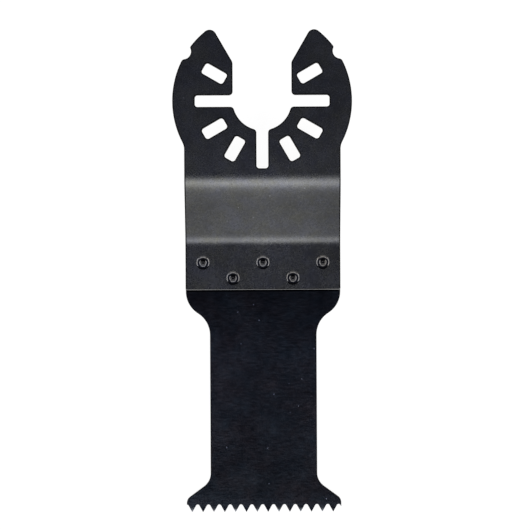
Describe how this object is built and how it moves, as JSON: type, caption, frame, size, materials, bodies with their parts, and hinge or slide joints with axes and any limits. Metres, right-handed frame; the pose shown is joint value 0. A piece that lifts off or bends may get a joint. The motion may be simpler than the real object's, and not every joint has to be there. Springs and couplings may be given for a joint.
{
  "type": "oscillating multi-tool blade",
  "caption": "Plunge-cut wood blade for an oscillating multi-tool: forked, slotted steel mount, joggled down and spot-welded over a waisted blade with set teeth.",
  "frame": {"origin": "on the tool's spindle axis, in the head's face that meets the tool", "axes": "+Z points at the tool along the spindle axis, +Y towards the open mouth of the fork and -Y towards the teeth, +X across the blade"},
  "size_m": [0.0344, 0.0931, 0.0078],
  "materials": {
    "plate_steel": "matte black oxide over a shot-blasted stamping, fine grain",
    "blade_steel": "satin black oxide over ground strip, faint cross streaks",
    "weld_steel": "blackened weld metal, a little smoother than the plate"
  },
  "bodies": {
    "root": {"mount_plate": "plate_steel", "saw_blade": "blade_steel", "spot_weld_1": "weld_steel", "spot_weld_2": "weld_steel", "spot_weld_3": "weld_steel", "spot_weld_4": "weld_steel", "spot_weld_5": "weld_steel"}
  },
  "joints": []
}
